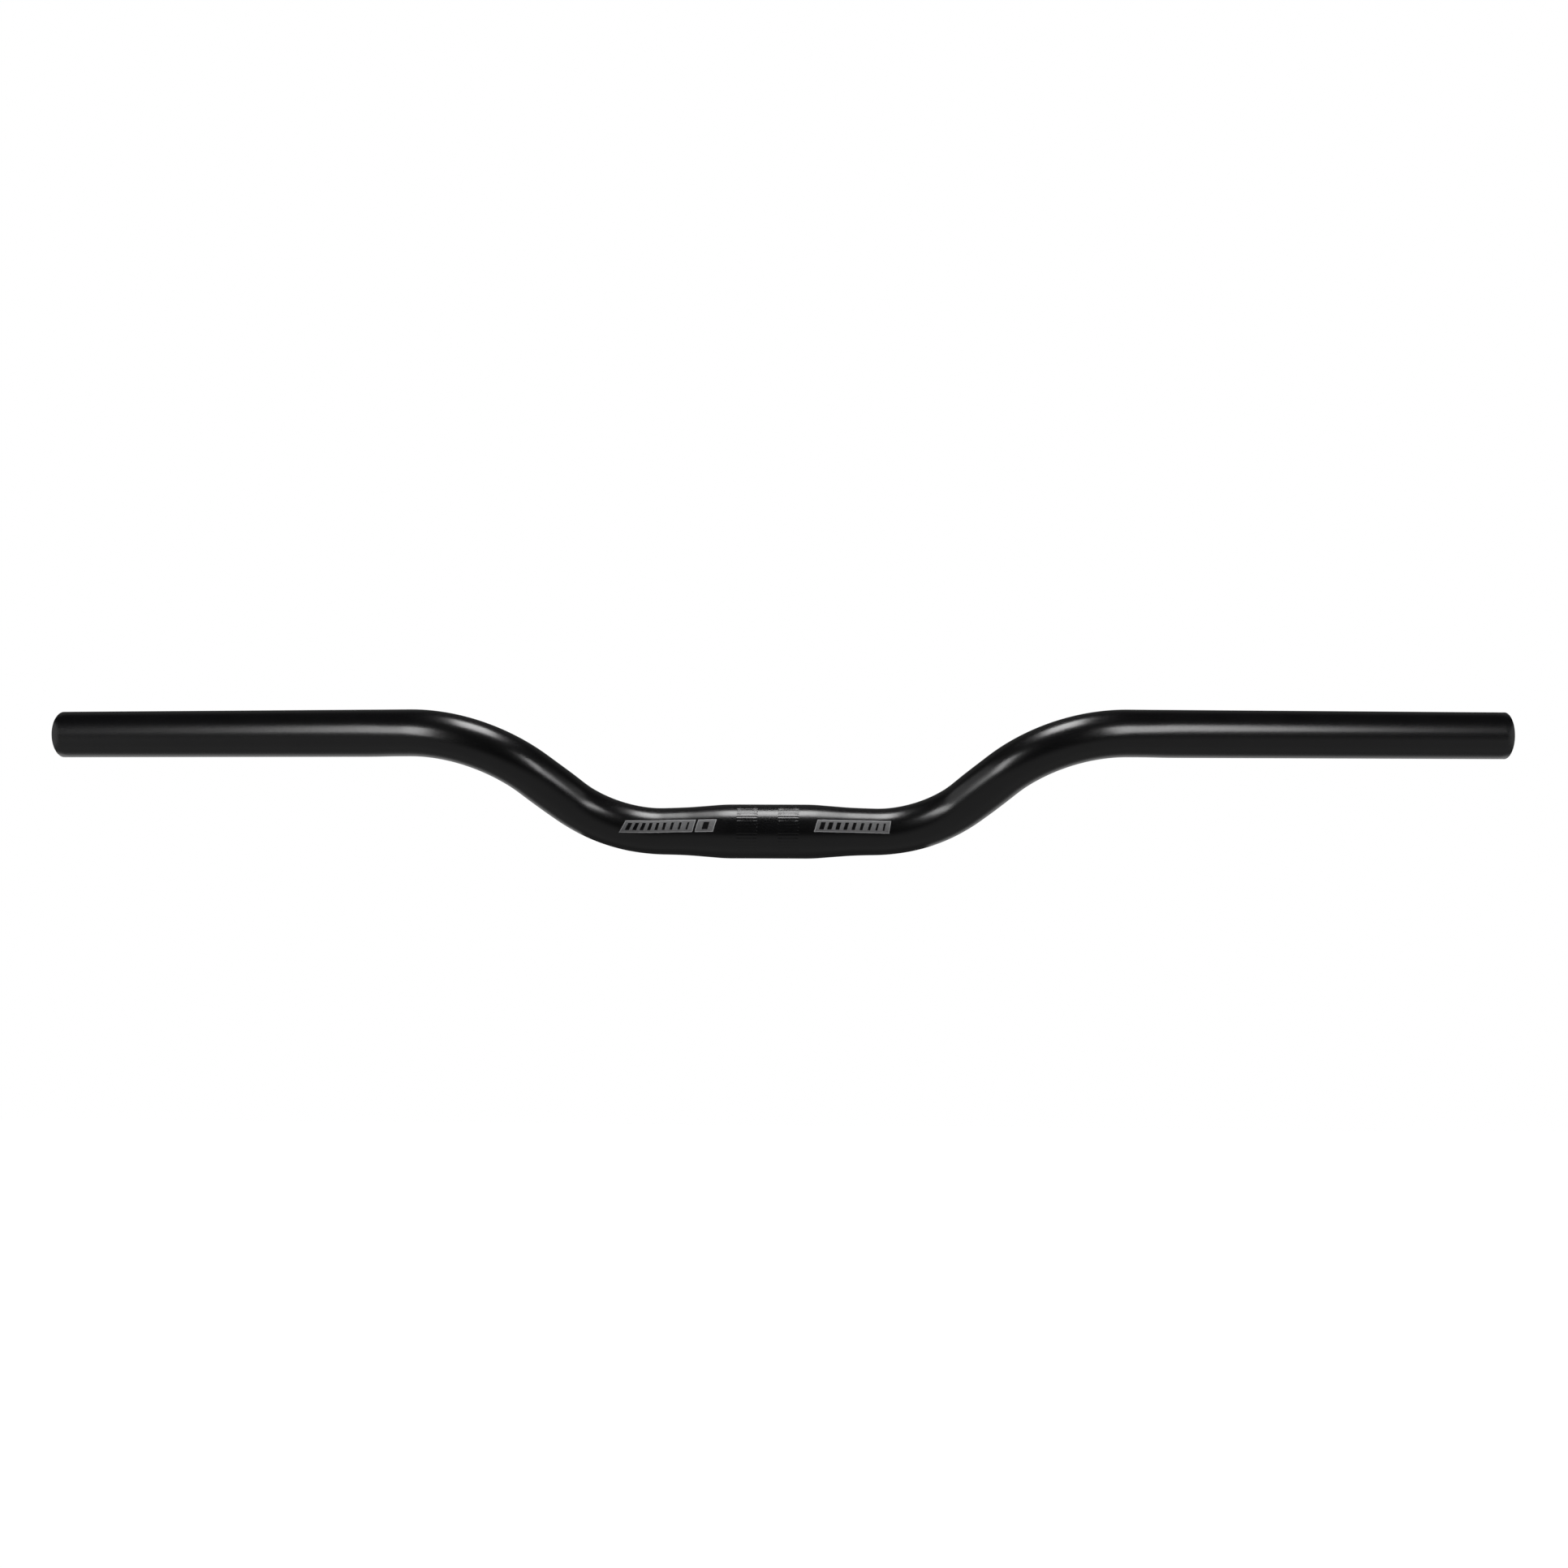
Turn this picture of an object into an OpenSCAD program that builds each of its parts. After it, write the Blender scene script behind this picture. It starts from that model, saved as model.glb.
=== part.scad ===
// Riser handlebar, one aluminium tube bent twice on each side and bulged at the clamp.
// Frame: origin at the middle of the clamp, X along the bar, -Y the bike's front, Z up.

/* [Bar] */
// Overall width over the two tips
bar_w = 700; // [600:1:780]
// Diameter of the grips and bends
bar_d = 22.2; // [21.8:0.1:22.6]
// Wall of the grips and bends
bar_wall = 2.3; // [1.4:0.1:3.4]
// Height of the grips above the clamp
rise = 45.8; // [38:0.1:50]
// How far each bend corner stands in front of the clamp
reach = 28.5; // [20:0.5:34]
// Backward sweep of the grips, in degrees
backsweep = 16; // [8:0.5:22]
// Break on the outer edge of each open end
end_break = 0.5; // [0.2:0.1:0.8]

/* [Bends] */
// Where the line of the clamp meets that of the slope
corner_x = 74.4; // [73:0.1:80]
// Where the line of the slope meets that of the grip
shoulder_x = 134; // [130:0.5:150]
// Bend radius beside the clamp
bend_1_r = 66; // [50:1:67]
// Bend radius beside the grip
bend_2_r = 69.5; // [50:0.5:72]

/* [Clamp] */
// Diameter of the bulge that the stem holds
clamp_d = 25.4; // [25:0.1:25.8]
// Wall of the bulge
clamp_wall = 2.6; // [1.8:0.1:3.6]
// Half length over the rounded shoulders of the bulge, between the lines of cylinder and cone
bulge_half = 20.5; // [19:0.1:23]
// Half length over the feet of the cones, between the lines of cone and tube
foot_half = 40.5; // [38:0.1:42]
// Radius that rounds the shoulder of the bulge
bulge_round = 90; // [40:5:110]
// Radius that rounds the foot of the bulge
foot_round = 150; // [60:5:170]

/* [Knurl] */
// Grooves round the bulge
groove_n = 48; // [36:1:56]
// Width of a groove
groove_w = 0.9; // [0.6:0.05:1.2]
// Depth of a groove
groove_depth = 0.1; // [0.06:0.02:0.2]
// Length of each knurled band
band_l = 9.9; // [6:0.1:11]
// Distance between the middles of the two bands
band_gap = 19.3; // [14:0.1:21]

/* [Hidden] */
$fn = 96;

bar_r = bar_d / 2;
bore_r = bar_r - bar_wall;
clamp_r = clamp_d / 2;
clamp_bore_r = clamp_r - clamp_wall;

// The path on one side: clamp line, slope and grip line, as points and unit directions
corner = [corner_x, 0, 0];
shoulder = [shoulder_x, -reach, rise];
tip_x = bar_w / 2 - bar_r * sin(backsweep);
along_clamp = [1, 0, 0];
slope_l = norm(shoulder - corner);
along_slope = (shoulder - corner) / slope_l;
along_grip = [cos(backsweep), sin(backsweep), 0];

// Bend angles, and the length of line that each bend takes from its corner
bend_1 = acos(along_clamp * along_slope);
bend_2 = acos(along_slope * along_grip);
take_1 = bend_1_r * tan(bend_1 / 2);
take_2 = bend_2_r * tan(bend_2 / 2);
clamp_line = corner_x - take_1;
slope_line = slope_l - take_1 - take_2;
grip_line = (tip_x - shoulder_x) / cos(backsweep) - take_2;

// Turns of the tube about its own line before each bend, as a tube bender sets them
in_1 = (along_slope - (along_slope * along_clamp) * along_clamp) / sin(bend_1);
in_1_end = in_1 * cos(bend_1) - along_clamp * sin(bend_1);
side_1 = cross(along_clamp, in_1);
in_2 = (along_grip - (along_grip * along_slope) * along_slope) / sin(bend_2);
turn_1 = atan2(in_1[1], -in_1[2]);
turn_2 = atan2(in_2 * side_1, in_2 * in_1_end);

// Bending draws the wall out: each face of it is this much thinner in a bend
drawn = 0.02;
// Each straight length runs this far into the bend beside it, so the two are one metal
lap = 0.2;

// The bulge's outline: the cone's slope, and the arcs that round its shoulder and foot
cone = atan((clamp_r - bar_r) / (foot_half - bulge_half));
shoulder_take = bulge_round * tan(cone / 2);
foot_take = foot_round * tan(cone / 2);
steps = 6;
shoulder_arc = [for (i = [0 : steps]) let (a = cone * i / steps)
    [clamp_r - bulge_round * (1 - cos(a)), bulge_half - shoulder_take + bulge_round * sin(a)]];
foot_arc = [for (i = [0 : steps]) let (a = cone * (1 - i / steps))
    [bar_r + foot_round * (1 - cos(a)), foot_half + foot_take - foot_round * sin(a)]];
outline = concat(shoulder_arc, foot_arc, [[bar_r, clamp_line + lap]]);
bore_line = [[clamp_bore_r, bulge_half], [bore_r, foot_half], [bore_r, clamp_line + lap]];
function back(points) = [for (i = [len(points) - 1 : -1 : 0]) points[i]];
function other(points) = [for (p = points) [p[0], -p[1]]];

// Tube wall as it is cut across in a bend
module bend_section() {
    difference() {
        circle(r = bar_r - drawn);
        circle(r = bore_r + drawn);
    }
}

// A bend that starts along +Z and turns towards +X
module bent(r, a) {
    translate([r, 0, 0]) rotate([90, 0, 180])
        rotate_extrude(angle = a) translate([r, 0]) bend_section();
}

// Carries what follows to the end of such a bend
module past_bend(r, a) {
    translate([r, 0, 0]) rotate([0, a, 0]) translate([-r, 0, 0]) children();
}

module slope() {
    translate([0, 0, -lap]) rotate_extrude()
        translate([bore_r, 0]) square([bar_wall, slope_line + 2 * lap]);
}

// The grip's length, with the outer edge of its open end broken
module grip() {
    rotate_extrude() polygon([
        [bore_r, -lap], [bar_r, -lap],
        [bar_r, grip_line - end_break], [bar_r - end_break, grip_line], [bore_r, grip_line]]);
}

// One side, from the end of the clamp's line to the tip
module side() {
    rotate([0, 90, 0]) translate([0, 0, clamp_line]) rotate([0, 0, turn_1]) {
        bent(bend_1_r, bend_1);
        past_bend(bend_1_r, bend_1) {
            slope();
            translate([0, 0, slope_line]) rotate([0, 0, turn_2]) {
                bent(bend_2_r, bend_2);
                past_bend(bend_2_r, bend_2) grip();
            }
        }
    }
}

// The bulged middle, turned about the bar's line
module middle() {
    rotate([0, 90, 0]) rotate_extrude()
        polygon(concat(back(other(outline)), outline, back(bore_line), other(bore_line)));
}

// Straight V grooves pressed into two bands, so that the stem's clamp can't slip; the top lies between two of them
module knurl() {
    for (s = [-1, 1]) for (i = [0 : groove_n - 1])
        rotate([(i + 0.5) * 360 / groove_n, 0, 0]) translate([s * band_gap / 2, 0, clamp_r])
            rotate([90, 0, 90]) linear_extrude(band_l, center = true)
                polygon([[groove_w / 2, 0], [0, groove_depth], [-groove_w / 2, 0], [0, -groove_depth]]);
}

module handlebar() {
    color("#141416")
    difference() {
        union() {
            middle();
            side();
            mirror([1, 0, 0]) side();
        }
        knurl();
    }
}

handlebar();
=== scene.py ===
# A black riser handlebar: one bent aluminium tube with a bulged and knurled clamp.
# X runs along the bar, -Y is the bicycle's front, Z is up, and the origin is the middle of the clamp.
# The bar's own sizes are in millimetres and turn into metres in skin(). The studio is in metres.

import math

import bpy
import numpy as np
from mathutils import Matrix


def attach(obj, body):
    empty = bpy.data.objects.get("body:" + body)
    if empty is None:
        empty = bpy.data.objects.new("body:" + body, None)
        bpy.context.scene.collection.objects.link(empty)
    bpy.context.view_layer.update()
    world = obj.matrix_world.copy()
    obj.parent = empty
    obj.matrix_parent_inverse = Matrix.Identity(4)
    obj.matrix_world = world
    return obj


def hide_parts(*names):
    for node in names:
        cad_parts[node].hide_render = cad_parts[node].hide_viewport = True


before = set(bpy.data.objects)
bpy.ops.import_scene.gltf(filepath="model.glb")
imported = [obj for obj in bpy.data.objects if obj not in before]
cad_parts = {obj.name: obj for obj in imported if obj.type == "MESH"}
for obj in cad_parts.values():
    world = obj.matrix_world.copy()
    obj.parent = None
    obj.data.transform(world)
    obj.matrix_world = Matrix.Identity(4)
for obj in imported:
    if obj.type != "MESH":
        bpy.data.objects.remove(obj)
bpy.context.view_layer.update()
MM = 0.001

# Sizes of the bar, the same as in the part's source
BAR_W = 700.0
TUBE_R = 11.1
BORE_R = 8.8
CLAMP_R = 12.7
CLAMP_BORE_R = 10.1
RISE = 45.8
REACH = 28.5
SWEEP = math.radians(16)
CORNER_X = 74.4
SHOULDER_X = 134.0
BEND_R = (66.0, 69.5)
BULGE_HALF = 20.5
FOOT_HALF = 40.5
BULGE_ROUND = 90.0
FOOT_ROUND = 150.0
GROOVES = 48
GROOVE_WIDTH = 0.9
BAND_L = 9.9
BAND_GAP = 19.3
END_BREAK = 0.5

# The knurl as it is pressed: a groove's depth, the length over which it runs out at its ends, the share that
# it is deeper near them, how far in that reaches and fades, and the turn of all the grooves about the bar
GROOVE_DEPTH = 0.05
RUN_OUT = 0.3
END_PRESS = 0.8
PRESS_REACH = 2.8
PRESS_FADE = 1.6
KNURL_TURN = math.radians(0.8)

# What each bend does to the tube: the outer side sinks and the inner side swells by these shares of the
# radius. It starts over EASE_IN, runs on past the bend's end for RUN_ON and then fades over FADE.
SINK = (0.0734, 0.0668)
SWELL = (0.0, 0.0254)
EASE_IN = 18.0
RUN_ON = (0.0, 13.5)
FADE = (18.0, 16.6)

# The print: how far it leans per millimetre of height, where its middle lies round the tube, its height, the
# width of its edge line, how far its slots stay from its upper and lower edges, where its two faces lie over
# the tube's skin, and the size of its quads along the bar and up
PRINT_SLANT = 0.28
PRINT_PHI = math.radians(76)
PRINT_HEIGHT = 6.0
PRINT_LINE = 0.34
PRINT_MARGIN = 1.25
PRINT_OVER = 0.03
PRINT_UNDER = -0.02
PRINT_FACE = (0.6, 0.5)

# Points round the tube, and how many times as many round the knurled middle, which ends at FINE_END
AROUND = 96
FINE = 5
FINE_END = 16.6

# The open ends: the crown on the broken outer edge, and the break of the bore's edge
LIP_CROWN = 0.09
BORE_BREAK = 0.1


def unit(v):
    """Vectors divided by their lengths."""
    return v / np.linalg.norm(v, axis=-1, keepdims=True)


def smooth(t):
    """A step from 0 to 1 with level ends: t squared times three less two t."""
    t = np.clip(t, 0.0, 1.0)
    return t * t * (3 - 2 * t)


def mirror_signs(s):
    """Signs that carry a point or direction of the right half to the side of the bar that s is on."""
    side = np.sign(s) + (s == 0)
    return np.stack([side, np.ones_like(side), np.ones_like(side)], axis=1)


class Line:
    """The tube's centre line on one side: clamp line, arc, slope, arc and grip line.

    Each arc is tangent to the two straight lines that it joins, so it takes its radius times the tangent
    of half its angle from each.
    """

    def __init__(self):
        corner = np.array([CORNER_X, 0, 0])
        shoulder = np.array([SHOULDER_X, -REACH, RISE])
        self.d = [
            np.array([1.0, 0, 0]),
            unit(shoulder - corner),
            np.array([math.cos(SWEEP), math.sin(SWEEP), 0]),
        ]
        slope = np.linalg.norm(shoulder - corner)
        bend = [math.acos(float(self.d[i] @ self.d[i + 1])) for i in (0, 1)]
        take = [r * math.tan(a / 2) for r, a in zip(BEND_R, bend)]
        tip_x = BAR_W / 2 - TUBE_R * math.sin(SWEEP)
        grip = (tip_x - SHOULDER_X) / math.cos(SWEEP) - take[1]
        lengths = [
            CORNER_X - take[0],
            BEND_R[0] * bend[0],
            slope - take[0] - take[1],
            BEND_R[1] * bend[1],
            grip,
        ]
        self.marks = np.concatenate([[0], np.cumsum(lengths)])
        self.start = [
            np.zeros(3),
            corner - self.d[0] * take[0],
            corner + self.d[1] * take[0],
            shoulder - self.d[1] * take[1],
            shoulder + self.d[2] * take[1],
        ]
        self.inward = [
            unit(self.d[i + 1] - (self.d[i + 1] @ self.d[i]) * self.d[i]) for i in (0, 1)
        ]

    def at(self, s):
        """Centre and direction at the distances s along the line, which are negative on the left.

        On a straight length the centre is its start plus the distance along its direction. On an arc, whose
        turn is the distance over the radius, it is the start plus the radius times the sine of the turn
        along the first direction, plus the radius times one less the cosine of the turn inwards.
        """
        signs = mirror_signs(s)
        s = np.abs(s)
        centre = np.zeros((len(s), 3))
        along = np.zeros((len(s), 3))
        part = np.clip(np.searchsorted(self.marks, s, "right") - 1, 0, 4)
        for k in range(5):
            m = part == k
            w = (s[m] - self.marks[k])[:, None]
            if k % 2 == 0:
                d = self.d[k // 2]
                centre[m] = self.start[k] + d * w
                along[m] = d
            else:
                i = k // 2
                t = w / BEND_R[i]
                d, n = self.d[i], self.inward[i]
                centre[m] = self.start[k] + BEND_R[i] * (np.sin(t) * d + (1 - np.cos(t)) * n)
                along[m] = np.cos(t) * d + np.sin(t) * n
        # The left half is the mirror of the right one, and its line still runs from left to right
        return centre * signs, along * signs * signs[:, :1]

    def squeeze(self, s):
        """For each bend in turn, its share in the tube's shape at s, from 0 to 1, and its outer side there.

        The share is a smooth step up at the bend's start times a smooth step down past its end. The outer
        side is the sine of the turn times the first direction, less its cosine times the inward one.
        """
        signs = mirror_signs(s)
        s = np.abs(s)
        for i in (0, 1):
            lo, hi = self.marks[2 * i + 1], self.marks[2 * i + 2]
            rise = smooth((s - lo + EASE_IN / 2) / EASE_IN)
            fall = smooth((hi + RUN_ON[i] + FADE[i] / 2 - s) / FADE[i])
            t = np.clip(s - lo, 0, hi - lo)[:, None] / BEND_R[i]
            yield (rise * fall)[:, None], (np.sin(t) * self.d[i] - np.cos(t) * self.inward[i]) * signs


LINE = Line()
TIP = LINE.marks[-1]


def outer_radius(s):
    """Radius along the bar: cylinder, rounded shoulder, cone, rounded foot, then the plain tube.

    The rounded lengths are arcs of circles: a centre's height plus or less the root of the radius squared
    less the distance from that centre squared. The cone falls by its slope's tangent per millimetre.
    """
    x = np.abs(s)
    cone = math.atan((CLAMP_R - TUBE_R) / (FOOT_HALF - BULGE_HALF))
    a = BULGE_HALF - BULGE_ROUND * math.tan(cone / 2)
    b = a + BULGE_ROUND * math.sin(cone)
    d = FOOT_HALF + FOOT_ROUND * math.tan(cone / 2)
    c = d - FOOT_ROUND * math.sin(cone)
    shoulder = CLAMP_R - BULGE_ROUND + np.sqrt(np.maximum(BULGE_ROUND**2 - (x - a) ** 2, 0))
    foot = TUBE_R + FOOT_ROUND - np.sqrt(np.maximum(FOOT_ROUND**2 - (d - x) ** 2, 0))
    slope = CLAMP_R - BULGE_ROUND * (1 - math.cos(cone)) - (x - b) * math.tan(cone)
    return np.select([x < a, x < b, x < c, x < d], [CLAMP_R, shoulder, slope, foot], TUBE_R)


def bore_radius(s):
    """Radius of the bore: wide under the bulge, then a straight taper to the tube's bore."""
    return np.interp(np.abs(s), [BULGE_HALF, FOOT_HALF], [CLAMP_BORE_R, BORE_R])


def knurl_angles():
    """Angles round the clamp, ten to a groove: seven across the groove and three on the land after it.

    They stand at shares of the groove's half angle, which is half its width over the clamp's radius, and at
    quarters of the land.
    """
    half = GROOVE_WIDTH / 2 / CLAMP_R
    pitch = 2 * math.pi / GROOVES
    land = pitch - 2 * half
    steps = np.array([-1, -0.66, -0.33, 0, 0.33, 0.66, 1]) * half
    steps = np.append(steps, half + land * np.array([0.25, 0.5, 0.75]))
    return ((np.arange(GROOVES)[:, None] + 0.5) * pitch + KNURL_TURN + steps).ravel()


def knurl_radius(s, phi):
    """The clamp's radius less the grooves.

    A groove is a V: its depth falls straight from the middle to the two edges. Along its length the depth is
    a smooth step up over RUN_OUT, times one plus END_PRESS times a smooth step down that ends at PRESS_REACH.
    """
    pitch = 2 * math.pi / GROOVES
    off = np.abs((phi - KNURL_TURN) % pitch - pitch / 2) * CLAMP_R
    vee = np.clip(1 - off / (GROOVE_WIDTH / 2), 0, 1)
    from_end = BAND_L / 2 - np.abs(np.abs(s) - BAND_GAP / 2)
    inside = smooth(from_end / RUN_OUT) * (1 + END_PRESS * smooth((PRESS_REACH - from_end) / PRESS_FADE))
    return outer_radius(s) - GROOVE_DEPTH * vee * inside


def skin(s, phi, radius):
    """Points of the tube's skin, in metres, for matching arrays s and phi, with radius at each.

    phi is 0 on top of the tube and grows towards the bicycle's front. A point is the centre plus the radius
    times the cosine of phi upwards and its sine frontwards. In a bend the radius is less by SINK times the
    squared cosine of the angle from the outer side, and more by SWELL times that square on the inner half.
    Half of both moves the section outwards, which leaves it in the middle of the bore.
    """
    centre, along = LINE.at(s.ravel())
    up = unit(np.array([0, 0, 1.0]) - along[:, 2:3] * along)
    front = np.cross(along, up)
    p, r = phi.ravel()[:, None], radius.ravel()[:, None]
    out = np.cos(p) * up + np.sin(p) * front
    size, shift = np.ones_like(r), np.zeros_like(out)
    for i, (share, outer) in enumerate(LINE.squeeze(s.ravel())):
        c = np.sum(out * outer, axis=1, keepdims=True)
        size = size - share * (SINK[i] * np.maximum(c, 0) ** 2 - SWELL[i] * np.minimum(c, 0) ** 2)
        shift = shift + share * (SINK[i] + SWELL[i]) / 2 * outer
    return (centre + r * (size * out + shift)) * MM


def grid_quads(rows, cols, start, wrap):
    """Quads between neighbouring rows and columns of a grid of points, numbered row by row from start.

    The last column joins the first if wrap is true.
    """
    j = np.arange(cols if wrap else cols - 1)
    i = np.arange(rows - 1)[:, None]
    a = start + i * cols + j
    b = start + i * cols + (j + 1) % cols
    return np.stack([a, b, b + cols, a + cols], axis=-1).reshape(-1, 4)


def new_object(name, data):
    """An object at the origin for a mesh, a lamp or the camera."""
    obj = bpy.data.objects.new(name, data)
    bpy.context.scene.collection.objects.link(obj)
    return obj


def make_piece(name, points, faces, material, sharp_deg):
    """A mesh object from lists of points and faces, smooth below the sharp angle, riding on the bar."""
    mesh = bpy.data.meshes.new(name)
    mesh.from_pydata(points, [], faces)
    mesh.validate()
    mesh.polygons.foreach_set("use_smooth", np.ones(len(mesh.polygons), bool))
    mesh.set_sharp_from_angle(angle=math.radians(sharp_deg))
    mesh.materials.append(material)
    obj = new_object(name, mesh)
    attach(obj, "root")
    return obj


def node_kit(owner):
    """The node tree of a material or world, with short helpers to add and join its nodes."""
    owner.use_nodes = True
    tree = owner.node_tree

    def add(kind, inputs=None, **settings):
        node = tree.nodes.new(kind)
        for key, value in settings.items():
            setattr(node, key, value)
        for key, value in (inputs or {}).items():
            node.inputs[key].default_value = value
        return node

    def join(a, out, b, into):
        tree.links.new(a.outputs[out], b.inputs[into])

    return tree, add, join


def colour_ramp(add, join, source, stops):
    """A colour for each value of a noise, straight between two stops of position and colour."""
    shade = add("ShaderNodeValToRGB")
    for element, (position, colour) in zip(shade.color_ramp.elements, stops):
        element.position = position
        element.color = (*colour, 1)
    join(source, "Fac", shade, "Fac")
    return shade


def black_anodising():
    """Black anodising over a blasted surface: nearly black, with a fine grain that breaks its highlights."""
    material = bpy.data.materials.new("black_anodising")
    tree, add, join = node_kit(material)
    shader = tree.nodes["Principled BSDF"]
    shader.inputs["IOR"].default_value = 1.5
    shader.inputs["Specular IOR Level"].default_value = 0.375
    place = add("ShaderNodeTexCoord")

    # Blasting leaves dents about two millimetres wide, with pits of less than one in them
    dents = add("ShaderNodeTexNoise", {"Scale": 420, "Detail": 1.0})
    join(place, "Object", dents, "Vector")
    pits = add("ShaderNodeTexNoise", {"Scale": 1500, "Detail": 2.5, "Roughness": 0.6})
    join(place, "Object", pits, "Vector")
    coarse = add("ShaderNodeBump", {"Strength": 0.3, "Distance": 0.04 * MM})
    join(dents, "Fac", coarse, "Height")
    fine = add("ShaderNodeBump", {"Strength": 0.4, "Distance": 0.03 * MM})
    join(pits, "Fac", fine, "Height")
    join(coarse, "Normal", fine, "Normal")
    join(fine, "Normal", shader, "Normal")

    # The dye is a little uneven
    dye = add("ShaderNodeTexNoise", {"Scale": 60, "Detail": 4.0})
    join(place, "Object", dye, "Vector")
    tones = [(0.3, (0.0020, 0.0020, 0.0022)), (0.75, (0.0030, 0.0030, 0.0033))]
    shade = colour_ramp(add, join, dye, tones)
    join(shade, "Color", shader, "Base Color")

    # The pits are glossier than the rims between them
    spread = {"From Min": 0.3, "From Max": 0.7, "To Min": 0.225, "To Max": 0.27}
    gloss = add("ShaderNodeMapRange", spread)
    join(pits, "Fac", gloss, "Value")
    join(gloss, "Result", shader, "Roughness")
    return material


def ink(name, dark, pale):
    """Matt screen print, a little uneven where the blasted surface shows through."""
    material = bpy.data.materials.new(name)
    tree, add, join = node_kit(material)
    shader = tree.nodes["Principled BSDF"]
    shader.inputs["Specular IOR Level"].default_value = 0.3
    shader.inputs["Roughness"].default_value = 0.5
    place = add("ShaderNodeTexCoord")
    grain = add("ShaderNodeTexNoise", {"Scale": 1800, "Detail": 2.0})
    join(place, "Object", grain, "Vector")
    tones = [(0.3, (dark, dark, dark * 1.02)), (0.7, (pale, pale, pale * 1.02))]
    shade = colour_ramp(add, join, grain, tones)
    join(shade, "Color", shader, "Base Color")
    dents = add("ShaderNodeBump", {"Strength": 0.3, "Distance": 0.03 * MM})
    join(grain, "Fac", dents, "Height")
    join(dents, "Normal", shader, "Normal")
    return material


def knurled_rings():
    """Distances of the rings over the knurled middle: close together where a band begins and ends."""
    into_band = np.array([-0.2, 0, 0.1, 0.2, 0.3, 1.3, 1.9, 2.4])
    inner_end, outer_end = (BAND_GAP - BAND_L) / 2, (BAND_GAP + BAND_L) / 2
    between = [1.6, 3.2, BAND_GAP / 2, 15.6, FINE_END]
    half = np.concatenate([between, inner_end + into_band, outer_end - into_band])
    half = np.unique(np.round(half, 4))
    return np.concatenate([-half[::-1], [0], half])


def lip_profile():
    """Distances and radii over the lip of an open end, from the outer skin to the bore.

    The broken edge is a straight slope plus the crown times the sine of half a turn over its length.
    """
    t = np.linspace(0, 1, 6)[1:]
    s = TIP - END_BREAK * (1 - t)
    r = TUBE_R - END_BREAK * t + LIP_CROWN * np.sin(math.pi * t)
    return np.append(s, [TIP, TIP - BORE_BREAK]), np.append(r, [BORE_R + BORE_BREAK, BORE_R])


def fan(fine, plain):
    """Triangles between the middle's last ring, from point fine on, and the first plain ring, from plain on.

    Of every FINE steps of the fine ring, the first three go to one plain point and the rest to the next.
    """
    first_steps = FINE // 2 + 1
    i = np.arange(AROUND)
    after = (i + 1) % AROUND
    parts = []
    for step in range(FINE):
        a = fine + i * FINE + step
        b = fine + (i * FINE + step + 1) % (AROUND * FINE)
        parts.append(np.stack([a, b, plain + (i if step < first_steps else after)], axis=1))
    parts.append(np.stack([fine + i * FINE + first_steps, plain + after, plain + i], axis=1))
    return np.concatenate(parts)


def tube():
    """The whole tube as one closed skin: outside, rounded lips at the open ends, and the bore.

    Rings of points are set along the centre line. The knurled middle has FINE times as many points round it,
    and a fan of triangles joins its last rings to the plain ones.
    """
    marks = LINE.marks
    blocks, faces = [], []
    count = 0

    def rings(s, phi, radius):
        """Adds a ring at each distance s, and returns the first one's first point and the number of rings."""
        nonlocal count
        ss, pp = np.meshgrid(s, phi, indexing="ij")
        blocks.append(skin(ss, pp, radius(ss, pp)))
        start = count
        count += ss.size
        return start, len(s)

    fine_phi = knurl_angles()
    knurl, knurl_rows = rings(knurled_rings(), fine_phi, knurl_radius)
    faces += grid_quads(knurl_rows, AROUND * FINE, knurl, True).tolist()

    # Each plain side, out to the start of the lip, with rings close together in the two bends
    plain_phi = fine_phi[0] + np.arange(AROUND) * 2 * math.pi / AROUND
    side_lengths = [
        np.arange(FINE_END + 1.2, marks[1], 1.1),
        np.linspace(marks[1], marks[2], 44),
        np.linspace(marks[2], marks[3], 14),
        np.linspace(marks[3], marks[4], 58),
        np.linspace(marks[4], TIP - END_BREAK, 46),
    ]
    side_s = np.unique(np.concatenate(side_lengths))
    lip_s, lip_r = lip_profile()
    lips = []
    for side in (-1, 1):
        plain, plain_rows = rings(side * side_s, plain_phi, lambda s, p: outer_radius(s))
        lip, lip_rows = rings(
            side * lip_s, plain_phi, lambda s, p: np.broadcast_to(lip_r[:, None], s.shape)
        )
        lips.append(lip + (lip_rows - 1) * AROUND)
        outside = grid_quads(plain_rows + lip_rows, AROUND, plain, True)
        collar = fan(knurl if side < 0 else knurl + (knurl_rows - 1) * AROUND * FINE, plain)
        # Towards the left the rings run backwards, so their faces are turned over
        faces += outside[:, ::side].tolist() + collar[:, ::side].tolist()

    # The bore, from the left lip to the right one, with its faces towards the bar's centre line
    bore_lengths = [
        [0, BULGE_HALF, FOOT_HALF],
        np.linspace(marks[1], marks[2], 24),
        np.linspace(marks[3], marks[4], 30),
        np.linspace(marks[4], TIP - 3, 20),
    ]
    half = np.unique(np.concatenate(bore_lengths))
    bore_s = np.concatenate([-half[::-1][:-1], half])
    bore, bore_rows = rings(bore_s, plain_phi, lambda s, p: bore_radius(s))
    faces += grid_quads(bore_rows, AROUND, bore, True)[:, ::-1].tolist()
    i = np.arange(AROUND)
    j = (i + 1) % AROUND
    for near, far in ((lips[0], bore), (bore + (bore_rows - 1) * AROUND, lips[1])):
        faces += np.stack([near + j, near + i, far + i, far + j], axis=1).tolist()

    points = np.concatenate(blocks)
    obj = make_piece("handlebar_tube", points.tolist(), faces, black_anodising(), sharp_deg=40)
    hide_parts("handlebar")


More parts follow.
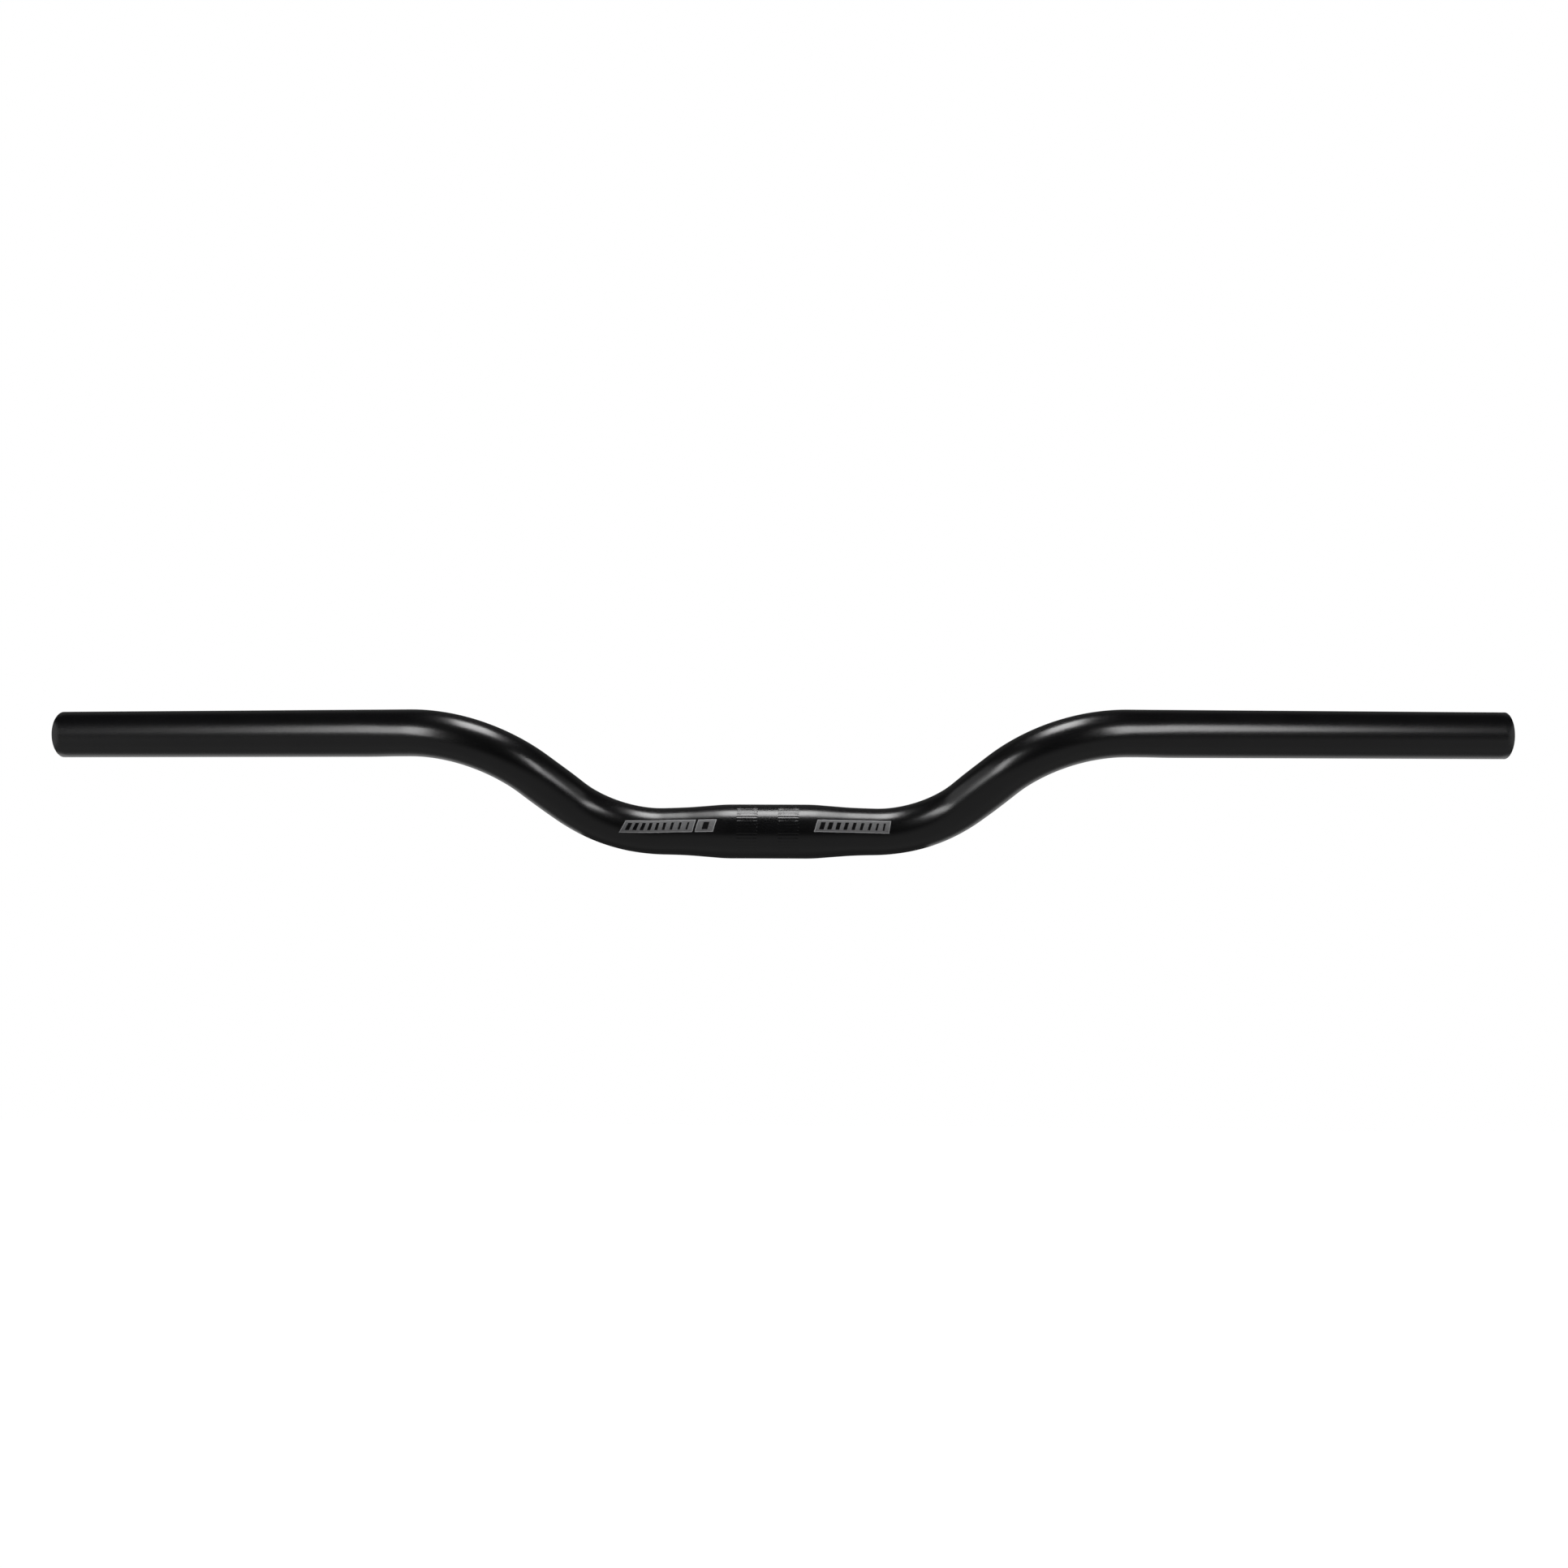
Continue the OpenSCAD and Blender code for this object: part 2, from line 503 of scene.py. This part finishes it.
def print_slab(u0, u1, v0, v1):
    """One slanted bar of print: a thin closed slab that follows the tube's skin.

    u is the distance along the bar and v the height of the print. A point is at the distance u plus the slant
    times v along the bar, and as far round it as keeps the print level where the bar rises.
    """
    cols, rows = (max(int(side / step), 1) + 1 for side, step in zip((u1 - u0, v1 - v0), PRINT_FACE))
    u, v = np.meshgrid(np.linspace(u0, u1, cols), np.linspace(v0, v1, rows), indexing="ij")
    s = u + PRINT_SLANT * v
    r = outer_radius(s)
    rise = LINE.at(s.ravel())[0][:, 2].reshape(s.shape)
    phi = PRINT_PHI + (rise - v) / r
    layers = [skin(s, phi, r + lift) for lift in (PRINT_OVER, PRINT_UNDER)]
    n = cols * rows
    top = grid_quads(cols, rows, 0, False)[:, ::-1]
    sides = [
        np.arange(rows),
        np.arange(1, cols) * rows + rows - 1,
        n - 2 - np.arange(rows - 1),
        np.arange(cols - 2, 0, -1) * rows,
    ]
    rim = np.concatenate(sides)
    after = np.roll(rim, -1)
    walls = np.stack([rim, after, after + n, rim + n], axis=1)
    return np.concatenate(layers), np.concatenate([top, top[:, ::-1] + n, walls])


def print_group(name, field, edge, inks):
    """A group of slanted bars printed on one side of the clamp: a grey field and a paler edge line."""
    points, faces, layers, count = [], [], [], 0
    for layer, bars in enumerate((field, edge)):
        for bar in bars:
            p, f = print_slab(*bar)
            points.append(p)
            faces.append(f + count)
            layers.append(np.full(len(f), layer))
            count += len(p)
    points, faces = np.concatenate(points).tolist(), np.concatenate(faces).tolist()
    obj = make_piece(name, points, faces, inks[0], sharp_deg=30)
    obj.data.materials.append(inks[1])
    obj.data.polygons.foreach_set("material_index", np.concatenate(layers).astype(np.int32))


def slotted_field(u0, u1, slots):
    """A slanted grey field with bare slots in it, and the line round its edge.

    slots holds the middle and the width of each slot, as shares of the field's length.
    """
    low, high = -PRINT_HEIGHT / 2, PRINT_HEIGHT / 2
    a, b, lo, hi = u0 + PRINT_LINE, u1 - PRINT_LINE, low + PRINT_LINE, high - PRINT_LINE
    edge = [(u0, u1, hi, high), (u0, u1, low, lo), (u0, a, lo, hi), (b, u1, lo, hi)]
    slot_lo, slot_hi = low + PRINT_MARGIN, high - PRINT_MARGIN
    field = [(a, b, slot_hi, hi), (a, b, lo, slot_lo)]
    start = a
    for middle, width in slots:
        left = a + (b - a) * (middle - width / 2)
        field.append((start, left, slot_lo, slot_hi))
        start = left + (b - a) * width
    field.append((start, b, slot_lo, slot_hi))
    return field, edge


def prints():
    """The two prints, nine slots each that narrow towards the right, and a small box beside the left one."""
    inks = ink("grey_print", dark=0.08, pale=0.12), ink("pale_print", dark=0.2, pale=0.27)
    left, box, right = (-70.0, -34.4), (-33.3, -24.6), (22.6, 58.2)
    slots = [((k + 0.75) / 9.5, 0.062 - 0.0045 * k) for k in range(9)]
    field, edge = slotted_field(*left, slots)
    box_field, box_edge = slotted_field(*box, [(0.5, 0.34)])
    print_group("print_left", field + box_field, edge + box_edge, inks)
    field, edge = slotted_field(*right, slots)
    print_group("print_right", field, edge, inks)


def seen_directly(add, join):
    """1 for rays from the camera, from a glossy surface or through glass, and 0 for light on the scene."""
    path = add("ShaderNodeLightPath")
    a = add("ShaderNodeMath", operation="MAXIMUM")
    b = add("ShaderNodeMath", operation="MAXIMUM")
    join(path, "Is Camera Ray", a, 0)
    join(path, "Is Glossy Ray", a, 1)
    join(a, 0, b, 0)
    join(path, "Is Transmission Ray", b, 1)
    return b


def floor(z, half):
    """A square pale floor at height z, white where it is seen, that lights the bar only as paint does."""
    material = bpy.data.materials.new("pale_floor")
    tree, add, join = node_kit(material)
    tree.nodes.remove(tree.nodes["Principled BSDF"])
    # The glow and the lamps' light on the paint come to white together
    paint = add("ShaderNodeBsdfDiffuse", {"Color": (0.8, 0.8, 0.8, 1)})
    level = add("ShaderNodeMath", {1: 0.97}, operation="MULTIPLY")
    join(seen_directly(add, join), 0, level, 0)
    glow = add("ShaderNodeEmission")
    join(level, 0, glow, "Strength")
    both = add("ShaderNodeAddShader")
    join(paint, 0, both, 0)
    join(glow, 0, both, 1)
    join(both, 0, tree.nodes["Material Output"], "Surface")
    mesh = bpy.data.meshes.new("floor")
    corners = [(-half, -half, z), (half, -half, z), (half, half, z), (-half, half, z)]
    mesh.from_pydata(corners, [], [(0, 1, 2, 3)])
    mesh.materials.append(material)
    new_object("floor", mesh)


def surround():
    """A surround that looks white where it is seen and throws only a little light on the bar."""
    world = bpy.data.worlds.new("studio")
    bpy.context.scene.world = world
    tree, add, join = node_kit(world)
    level = add("ShaderNodeMapRange", {"To Min": 0.05, "To Max": 1.0})
    join(seen_directly(add, join), 0, level, "Value")
    join(level, 0, tree.nodes["Background"], "Strength")
    tree.nodes["Background"].inputs["Color"].default_value = (1, 1, 1, 1)


def soft_box(name, place, faces, edge, size, light_on_bar):
    """A rectangular lamp at a place, facing one way, with its first side along edge.

    light_on_bar is what it throws on the middle of the bar, so its power is light_on_bar times pi times its
    distance squared, over the cosine of the angle between the way it faces and the way to the bar.
    """
    place = np.array(place)
    faces = unit(np.array(faces))
    edge = np.array(edge)
    edge = unit(edge - faces * (faces @ edge))
    lamp = bpy.data.lights.new(name, "AREA")
    lamp.shape = "RECTANGLE"
    lamp.size, lamp.size_y = size
    lamp.energy = light_on_bar * math.pi * float(place @ place) / float(-unit(place) @ faces)
    turn = Matrix((edge, np.cross(-faces, edge), -faces)).transposed().to_4x4()
    obj = new_object(name, lamp)
    obj.matrix_world = Matrix.Translation(place) @ turn
    obj.visible_camera = False


def card(name, profile, ends, shine):
    """A card from one x to another, bent to a profile of (y, z) points with a shine at each.

    Only the bar's gloss sees it, and it glows by its shine, so what it shows is a painted reflection.
    """
    profile = np.array(profile)
    n = len(profile)
    points = np.concatenate([np.column_stack([np.full(n, x), profile]) for x in ends])
    quads = [(i, i + 1, n + i + 1, n + i) for i in range(n - 1)]
    mesh = bpy.data.meshes.new(name)
    mesh.from_pydata(points.tolist(), [], quads)
    level = mesh.attributes.new("shine", "FLOAT", "POINT")
    level.data.foreach_set("value", np.tile(np.asarray(shine, float), 2))
    material = bpy.data.materials.new(name)
    tree, add, join = node_kit(material)
    tree.nodes.remove(tree.nodes["Principled BSDF"])
    read = add("ShaderNodeAttribute", attribute_name="shine")
    glow = add("ShaderNodeEmission")
    join(read, "Fac", glow, "Strength")
    join(glow, 0, tree.nodes["Material Output"], "Surface")
    mesh.materials.append(material)
    obj = new_object(name, mesh)
    for ray in ("camera", "diffuse", "transmission", "volume_scatter", "shadow"):
        setattr(obj, "visible_" + ray, False)


def around(turns, radius):
    """Points (y, z) at a radius from the clamp: turn 0 is straight in front, 90 overhead, -90 below."""
    t = np.radians(turns)
    return np.column_stack([-radius * np.cos(t), radius * np.sin(t)])


def lamps():
    """Three soft boxes, where the highlights along the bar show them: over the clamp and before each grip."""
    soft_box(
        "soft_box_top",
        place=(-0.028, -0.054, 0.626),
        faces=(-0.11, 0.399, -0.91),
        edge=(0.993, 0.085, -0.083),
        size=(0.235, 0.33),
        light_on_bar=2.8,
    )
    soft_box(
        "soft_box_left",
        place=(-0.636, -0.62, 0.249),
        faces=(-0.279, 0.876, -0.393),
        edge=(0.89, 0.082, -0.448),
        size=(0.4, 0.46),
        light_on_bar=1.42,
    )
    soft_box(
        "soft_box_right",
        place=(0.526, -0.51, 0.314),
        faces=(0.383, 0.877, -0.291),
        edge=(0.836, -0.195, 0.512),
        size=(0.445, 0.325),
        light_on_bar=1.19,
    )


def cards():
    """Cards that paint the bar's reflections: a dark one over the bar with a painted glow far behind it, a
    grey one under it that paints a lit floor in its gloss, and a small one that paints shade into the
    reflection at the back of the clamp.
    """
    whole_bar = (-2.4, 2.4)
    # Painted reflection: a dark card over the bar that glows faintly far behind it, as painted light from
    # behind
    over = np.linspace(-1, 170, 40)
    card("painted_reflection_card_over", around(over, 1.6), whole_bar, 0.1 * smooth((over - 112) / 24))

    # Painted reflection of a lit floor: grey from a little below the front, darker behind the bar and pale
    # again far behind it
    under = np.linspace(1, 168, 40)
    grey = 0.4 * smooth((np.sin(np.radians(under)) - 0.04) / 0.47)
    behind = 1 - 0.45 * smooth((under - 85) / 30) + 1.5 * smooth((under - 118) / 28)
    card("painted_floor_reflection_under", around(-under, 1.5), whole_bar, grey * behind)

    # Painted shade: a dim card seen only in the gloss behind and under the clamp, which darkens the clamp's
    # reflection there as a shadow under it would
    bent = [(-0.005, -0.045), (0.01, -0.04), (0.04, -0.025), (0.14, -0.016)]
    card("painted_shade_behind_clamp", bent, (-0.105, 0.08), [0.3, 0.12, 0.03, 0.0])


def camera(place, yaw, roll, focal, frame_width):
    """The camera, level but for its roll, turned to the right by yaw, with focal in pixels of the frame."""
    sensor = 36.0
    cam = bpy.data.cameras.new("camera")
    cam.sensor_width = sensor
    cam.lens = sensor * focal / frame_width
    cam.clip_end = 50
    ahead = np.array([math.sin(yaw), math.cos(yaw), 0])
    level = np.array([math.cos(yaw), -math.sin(yaw), 0])
    up = np.array([0, 0, 1.0])
    right = math.cos(roll) * level + math.sin(roll) * up
    top = -math.sin(roll) * level + math.cos(roll) * up
    eye = new_object("camera", cam)
    turn = Matrix((right, top, -ahead)).transposed().to_4x4()
    eye.matrix_world = Matrix.Translation(place) @ turn
    bpy.context.scene.camera = eye


tube()
prints()
floor(z=-1.7, half=14.0)
surround()
lamps()
cards()
# From a fit of the bar's outline to the photograph
camera((0.09685, -1.44, 0.02235), yaw=-0.06233, roll=0.00188, focal=3784.7, frame_width=1932)
bpy.context.scene.view_settings.view_transform = "Standard"
